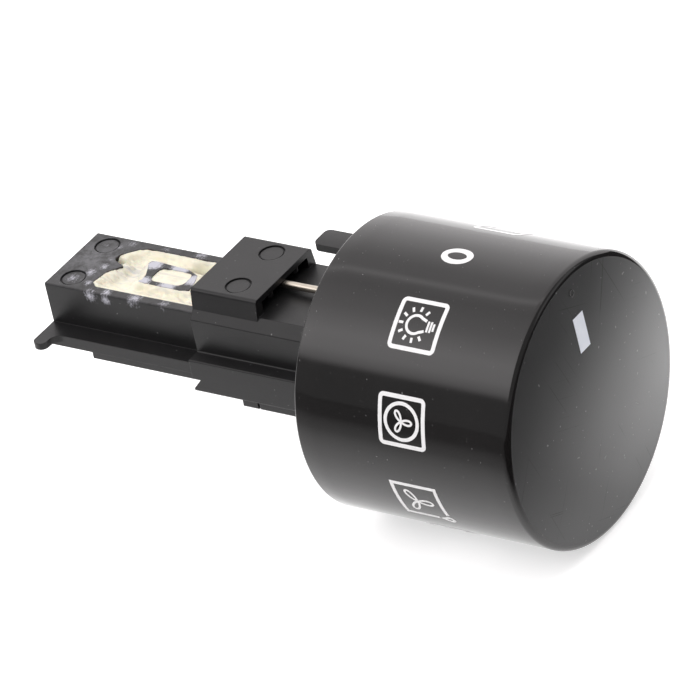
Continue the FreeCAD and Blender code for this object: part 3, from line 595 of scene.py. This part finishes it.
def fan_blades(bm, angle, centre, length, width, line):
    """Three petal outlines that meet at the centre."""
    for blade in range(3):
        direction = math.radians(-90 + 120 * blade)
        along = Vector((math.cos(direction), math.sin(direction)))
        across = Vector((-along.y, along.x))
        path = []
        for turn in turns(26):
            reach = length * (0.54 - 0.46 * math.cos(turn))
            swell = width * math.sin(turn) * (0.55 + 0.45 * reach / length)
            path.append(Vector(centre) + along * reach + across * swell)
        stroke(bm, path, line, angle, closed=True)


def symbol_fan_circle(bm, angle):
    window_frame(bm, angle)
    ring = [(2.2 * math.cos(turn), 2.2 * math.sin(turn)) for turn in turns(56)]
    stroke(bm, ring, 0.46, angle, closed=True)
    fan_blades(bm, angle, (0.0, 0.05), 1.42, 0.36, 0.28)


def symbol_fan_drop(bm, angle):
    """Fan in an open square with a drop at its lower front corner."""
    half = FRAME_HALF
    path = [(-half + 1.0, -half), (half, -half), (half, half), (-half, half), (-half, -half + 1.6)]
    stroke(bm, path, 0.5, angle)
    fan_blades(bm, angle, (0.1, 0.3), 2.1, 0.5, 0.32)
    drop = [(-half - 0.1, -half + 1.15)] + arc((-half - 0.05, -half + 0.1), 0.46, 155, 385, 14)
    stroke(bm, drop, 0.42, angle, closed=True)


def symbol_lines(levels):
    """A square with a heating line at each given level."""
    def draw(bm, angle):
        window_frame(bm, angle)
        for level in levels:
            stroke(bm, [(-1.8, level), (1.8, level)], 0.5, angle)
    return draw


def symbol_grill(bm, angle, level=1.75):
    """A square with the zigzag of the grill at its top."""
    window_frame(bm, angle)
    teeth = [(-1.9 + 0.76 * step, level - (0.75 if step % 2 else 0.0)) for step in range(6)]
    stroke(bm, teeth, 0.42, angle)


def symbol_grill_fan(bm, angle):
    symbol_grill(bm, angle, 2.0)
    fan_blades(bm, angle, (0.0, -0.85), 1.35, 0.36, 0.28)


def symbol_fan_line(bm, angle):
    window_frame(bm, angle)
    fan_blades(bm, angle, (0.0, 0.55), 1.45, 0.38, 0.28)
    stroke(bm, [(-1.8, -1.95), (1.8, -1.95)], 0.5, angle)


# place round the barrel from the top, in pitches, and what is printed there
SYMBOLS = [
    (0.055, symbol_zero),
    (0.99, symbol_lamp),
    (2.02, symbol_fan_circle),
    (3.07, symbol_fan_drop),
    (4, symbol_fan_line),
    (5, symbol_grill_fan),
    (6, symbol_grill),
    (7, symbol_lines((1.9,))),
    (8, symbol_lines((-1.9,))),
    (9.05, symbol_lines((-1.9, 1.9))),
]


def build_symbols(material):
    bm = bmesh.new()
    for place, draw in SYMBOLS:
        draw(bm, 90 + place * SYMBOL_PITCH)
    bmesh.ops.recalc_face_normals(bm, faces=bm.faces)
    prints = object_from("function_symbols", bm, material)
    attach(prints, "knob")


# ---------------------------------------------------------------- grease in the track
# sizes here are in millimetres; depths are measured down from the cam face
GREASE_STEP = 0.10
GREASE_HALF_WIDTH = 5.1
GREASE_FIRST, GREASE_LAST = 5.4, 25.0
TRACK_DEEPER_THAN = 1.6
HOLLOW_DEEPER_THAN = 0.6
# across, station, half width, half length and depth of the places that the wire has ploughed out
PLOUGHED = [
    (1.3, 6.3, 0.75, 0.6, 2.6),
    (0.2, 9.6, 1.3, 1.6, 0.5),
    (3.45, 18.0, 0.75, 1.1, 4.0),
]


def node_tree(name):
    """A search tree of a CAD node's own mesh."""
    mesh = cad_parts[name].data
    mesh.calc_loop_triangles()
    triangles = [tuple(triangle.vertices) for triangle in mesh.loop_triangles]
    return BVHTree.FromPolygons([v.co.copy() for v in mesh.vertices], triangles)


def grease_depth(across, station, from_wall):
    """How far the grease's surface lies below the cam face."""
    swirl = noise.noise(Vector((across * 0.55, station * 0.35, 3.1)))
    ripple = noise.noise(Vector((across * 2.3, station * 1.1, 7.7)))
    fine = noise.noise(Vector((across * 4.1, station * 3.3, 1.9)))
    rim = 0.05 + 0.10 * abs(ripple)
    ploughed = 0.95 + 0.40 * swirl + 0.16 * ripple + 0.05 * fine
    away = min(max((from_wall + 0.3 * ripple) / 1.25, 0.0), 1.0)
    away = away * away * (3 - 2 * away)
    depth = rim + (ploughed - rim) * away
    for side, along, width, length, drop in PLOUGHED:
        far = ((across - side) / width) ** 2 + ((station - along) / length) ** 2
        depth += drop * math.exp(-far)
    return max(depth, 0.03)


def grid_place(i, j):
    """Across and station of a point of the grease's grid."""
    return -GREASE_HALF_WIDTH + i * GREASE_STEP, GREASE_FIRST + j * GREASE_STEP


def grid_neighbours(i, j):
    return [(i + a, j + b) for a in (-1, 0, 1) for b in (-1, 0, 1) if a or b]


def steps_from_edge(sunk):
    """For each sunk grid point, how many steps it lies from the edge of the sunk area."""
    steps = {}
    front = [key for key in sunk if any(k not in sunk for k in grid_neighbours(*key))]
    level = 0
    while front:
        for key in front:
            steps[key] = level
        level += 1
        ahead = {k for key in front for k in grid_neighbours(*key) if k in sunk and k not in steps}
        front = list(ahead)
    return steps


def build_grease(material):
    """Grease over the track's floor and in the island's hollow, kept inside their walls."""
    tree = node_tree("cam_block")
    columns = int(2 * GREASE_HALF_WIDTH / GREASE_STEP)
    rows = int((GREASE_LAST - GREASE_FIRST) / GREASE_STEP)
    track, hollow = {}, {}
    for i in range(columns + 1):
        for j in range(rows + 1):
            across, station = grid_place(i, j)
            above = Vector((across * MM, -station * MM, CAM_FACE + MM))
            hit = tree.ray_cast(above, Vector((0, 0, -1)))[0]
            depth = (CAM_FACE - hit.z) / MM if hit else 0.0
            if depth > TRACK_DEEPER_THAN:
                track[i, j] = depth
            elif depth > HOLLOW_DEEPER_THAN:
                hollow[i, j] = depth
    bm = bmesh.new()
    fill(bm, track, is_hollow=False)
    fill(bm, hollow, is_hollow=True)
    bmesh.ops.recalc_face_normals(bm, faces=bm.faces)
    grease = object_from("track_grease", bm, material)
    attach(grease, "cam_slide")


def fill(bm, sunk, is_hollow):
    """A closed body of grease over the sunk grid points, one cell wider than they are."""
    steps = steps_from_edge(sunk)
    upper, lower = {}, {}

    def corner(i, j):
        if (i, j) not in upper:
            across, station = grid_place(i, j)
            near = [(i, j)] + grid_neighbours(i, j)
            floor_depth = max(sunk[k] for k in near if k in sunk)
            from_wall = steps.get((i, j), 0) * GREASE_STEP
            if is_hollow:
                lump = noise.noise(Vector((across * 1.4, station * 0.8, 1.0)))
                depth = 0.10 + 0.16 * abs(lump) + 0.12 * min(from_wall, 1.0)
            else:
                depth = grease_depth(across, station, from_wall)
            depth = min(depth, floor_depth + 0.15)
            place = (across * MM, -station * MM)
            upper[i, j] = bm.verts.new((*place, CAM_FACE - depth * MM))
            lower[i, j] = bm.verts.new((*place, CAM_FACE - (floor_depth + 0.25) * MM))
        return upper[i, j], lower[i, j]

    cells = set()
    for i, j in sunk:
        cells |= {(i, j), (i - 1, j), (i, j - 1), (i - 1, j - 1)}
    for i, j in cells:
        corners = [corner(i, j), corner(i + 1, j), corner(i + 1, j + 1), corner(i, j + 1)]
        face = bm.faces.new([c[0] for c in corners])
        face.smooth = True
        bm.faces.new([c[1] for c in reversed(corners)])
        sides = (((i, j - 1), 0, 1), ((i + 1, j), 1, 2), ((i, j + 1), 2, 3), ((i - 1, j), 3, 0))
        for beside, a, b in sides:
            if beside not in cells:
                bm.faces.new([corners[b][0], corners[a][0], corners[a][1], corners[b][1]])


# ---------------------------------------------------------------- floor, light and camera
# what the cards face
CENTRE = Vector((0.0, -0.0475, 0.0))


def new_tree(owner):
    """The emptied node tree of a material or a world."""
    owner.use_nodes = True
    owner.node_tree.nodes.clear()
    return owner.node_tree


def glow_material(name, tint):
    """An emission material; returns it with its tree and its emission node."""
    material = bpy.data.materials.new(name)
    tree = new_tree(material)
    glow = add_node(tree, "ShaderNodeEmission", (*tint, 1))
    add_node(tree, "ShaderNodeOutputMaterial", glow.outputs[0])
    return material, tree, glow


# how bright the tent is, by its angle round the knob's axis from +X over the top, in degrees
TENT = [
    (0, 1.5), (17, 1.7), (39, 1.65), (60, 1.25), (71, 1.3), (75, 1.95), (79, 1.25), (86, 1.15),
    (107, 1.6), (128, 2.6), (141, 2.4), (145, 2.0), (149, 1.6), (153, 0.5),
]


def build_tent():
    """A half-round light tent over the knob, which the camera doesn't see."""
    bm = bmesh.new()
    radius, near_end, far_end = 1.1, -0.55, 2.2
    rows = [[bm.verts.new((x, y, z)) for y in (near_end, far_end)]
            for x, z in arc((0.0, 0.0), radius, TENT[0][0], TENT[-1][0], 60)]
    for this, following in zip(rows, rows[1:]):
        bm.faces.new([this[0], this[1], following[1], following[0]])
    tent = object_from("light_tent", bm)
    material, tree, glow = glow_material("light_tent", (1.0, 0.972, 0.978))
    peak = max(level for _, level in TENT)
    place = add_node(tree, "ShaderNodeTexCoord").outputs["Object"]
    parts = add_node(tree, "ShaderNodeSeparateXYZ", place).outputs
    turn = add_node(tree, "ShaderNodeMath", parts["Z"], parts["X"], operation="ARCTAN2").outputs[0]
    share = add_node(tree, "ShaderNodeMath", turn, math.pi, operation="DIVIDE").outputs[0]
    ramp = add_node(tree, "ShaderNodeValToRGB", share)
    strength = add_node(tree, "ShaderNodeMath", ramp.outputs[0], peak, operation="MULTIPLY")
    tree.links.new(strength.outputs[0], glow.inputs["Strength"])
    marks = ramp.color_ramp.elements
    for index, (angle, level) in enumerate(TENT):
        mark = marks[index] if index < 2 else marks.new(angle / 180)
        mark.position = angle / 180
        mark.color = grey(level / peak)
    tent.data.materials.append(material)
    tent.visible_camera = False
    tent.visible_shadow = False
    tent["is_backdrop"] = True


def flat_panel(half_width, half_height, level):
    """One level rectangle about the Z axis."""
    bm = bmesh.new()
    for x, y in ((-1, -1), (1, -1), (1, 1), (-1, 1)):
        bm.verts.new((x * half_width, y * half_height, level))
    bm.faces.new(bm.verts)
    return bm


def card(name, centre, size, strength):
    """A glowing panel that faces the object and that the camera doesn't see."""
    width, height = size
    panel = object_from(name, flat_panel(width / 2, height / 2, 0.0))
    turn = (CENTRE - centre).normalized().to_track_quat("Z", "Y").to_matrix().to_4x4()
    panel.matrix_world = Matrix.Translation(centre) @ turn
    material, _, glow = glow_material(name, (1.0, 1.0, 1.0))
    glow.inputs["Strength"].default_value = strength
    panel.data.materials.append(material)
    panel.visible_camera = False
    panel.visible_shadow = False
    panel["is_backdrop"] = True


def build_floor():
    """Pale floor below the knob; in reflections it falls off to the left and to the front."""
    reach = 4.0
    floor = object_from("floor", flat_panel(reach, reach, CAP_LOW.z - 0.2 * MM))
    material = bpy.data.materials.new("floor")
    tree = new_tree(material)

    def calc(operation, *values):
        return add_node(tree, "ShaderNodeMath", *values, operation=operation).outputs[0]

    def ramp(value, *limits):
        return add_node(tree, "ShaderNodeMapRange", value, *limits).outputs[0]

    rays = add_node(tree, "ShaderNodeLightPath").outputs
    place = add_node(tree, "ShaderNodeTexCoord").outputs["Object"]
    parts = add_node(tree, "ShaderNodeSeparateXYZ", place).outputs
    # what the barrel reflects, by X
    near_left = ramp(parts["X"], -0.065, -0.024, 0.36, 1.0)
    far_left = ramp(parts["X"], -0.12, -0.065, 0.3, 1.0)
    left = calc("MULTIPLY", near_left, far_left)
    # what the face reflects, by X and Y, from a little in front of the cap
    away = ramp(parts["Y"], -0.108, -0.083, 0.02, 2.3)
    aside = ramp(parts["X"], 0.005, 0.042, 0.45, 2.0)
    in_front = ramp(parts["Y"], -0.079, -0.085, 0.0, 1.0)
    extra = calc("SUBTRACT", calc("MULTIPLY", away, aside), 1.0)
    front = calc("MULTIPLY_ADD", extra, in_front, 1.0)
    # the falloff counts only for glossy rays
    fall = calc("SUBTRACT", 1.0, calc("MULTIPLY", left, front))
    kept = calc("SUBTRACT", 1.0, calc("MULTIPLY", fall, rays["Is Glossy Ray"]))
    tone = calc("MULTIPLY", calc("MINIMUM", kept, 1.0), 0.86)
    for_camera = calc("MULTIPLY", rays["Is Camera Ray"], 0.55)
    for_gloss = calc("MULTIPLY", rays["Is Glossy Ray"], 0.8)
    strength = calc("MULTIPLY", calc("ADD", for_camera, for_gloss), kept)
    matte = add_node(tree, "ShaderNodeBsdfDiffuse", tone)
    glow = add_node(tree, "ShaderNodeEmission", grey(1.0), strength)
    both = add_node(tree, "ShaderNodeAddShader", matte.outputs[0], glow.outputs[0])
    add_node(tree, "ShaderNodeOutputMaterial", both.outputs[0])
    floor.data.materials.append(material)
    floor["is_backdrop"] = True


def build_world():
    """Dim grey surroundings that the camera sees as white."""
    world = bpy.data.worlds.new("studio")
    bpy.context.scene.world = world
    tree = new_tree(world)
    dim = add_node(tree, "ShaderNodeBackground", grey(1.0), 0.34)
    white = add_node(tree, "ShaderNodeBackground", grey(1.0), 1.0)
    for_camera = add_node(tree, "ShaderNodeLightPath").outputs["Is Camera Ray"]
    choose = add_node(tree, "ShaderNodeMixShader", for_camera, dim.outputs[0], white.outputs[0])
    add_node(tree, "ShaderNodeOutputWorld", choose.outputs[0])


def build_lights():
    """The tent, and a fill from the front."""
    build_tent()
    card("front_fill", Vector((0.9, -1.3, 0.5)), (1.0, 0.8), 0.8)


def build_camera():
    """Long lens, near-parallel view from the front left and above, leaning a little."""
    place = Vector((-0.5373, -0.48835, 0.4390))
    towards = Vector((0.6516, 0.5408, -0.5319)).normalized()
    right = Vector((0.5361, -0.8244, -0.1814))
    right = (right - towards * right.dot(towards)).normalized()
    data = bpy.data.cameras.new("camera")
    data.lens = 335.6
    data.sensor_width = 36.0
    data.clip_start = 0.01
    data.clip_end = 20.0
    camera = bpy.data.objects.new("camera", data)
    bpy.context.scene.collection.objects.link(camera)
    turn = Matrix((right, right.cross(towards), -towards)).transposed()
    camera.matrix_world = Matrix.Translation(place) @ turn.to_4x4()
    bpy.context.scene.camera = camera


# ---------------------------------------------------------------- put together
def paint_node(name, material):
    """Gives a carried-over CAD node its material."""
    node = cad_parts[name]
    node.data.materials.clear()
    node.data.materials.append(material)


dull = moulded_black("moulded_black")
# the cam block's material: real grease smears plus a painted sheen on its top face
black_with_grease_and_sheen = moulded_black("moulded_black_grease_and_painted_sheen", smears_and_sheen=True)
gloss = gloss_black()
spring_steel = drawn_steel("spring_steel", grey(0.30), grey(0.48), (900.0, 900.0, 4000.0))
wire_steel = drawn_steel("wire_steel", (0.40, 0.36, 0.30, 1), (0.58, 0.53, 0.46, 1),
                         (5000.0, 160.0, 5000.0))

for node_name, node_material in (
    ("cam_block", black_with_grease_and_sheen),
    ("guide_sleeve", dull),
    ("sleeve_keeper", dull),
    ("index_ring", dull),
    ("pointer_inlay", inlay_material()),
    ("latch_wire", wire_steel),
    ("return_spring", spring_steel),
    ("shaft_clip", spring_steel),
):
    paint_node(node_name, node_material)

build_cap(gloss, satin_face(), dull)
build_gate_mark(dull)
build_symbols(ink_material())
build_grease(grease_material())

build_floor()
build_world()
build_lights()
build_camera()
bpy.context.scene.view_settings.view_transform = "Standard"


def corners(box):
    return [list(corner) for corner in box]


{"cad": corners(cad_box), "visual": corners(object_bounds())}
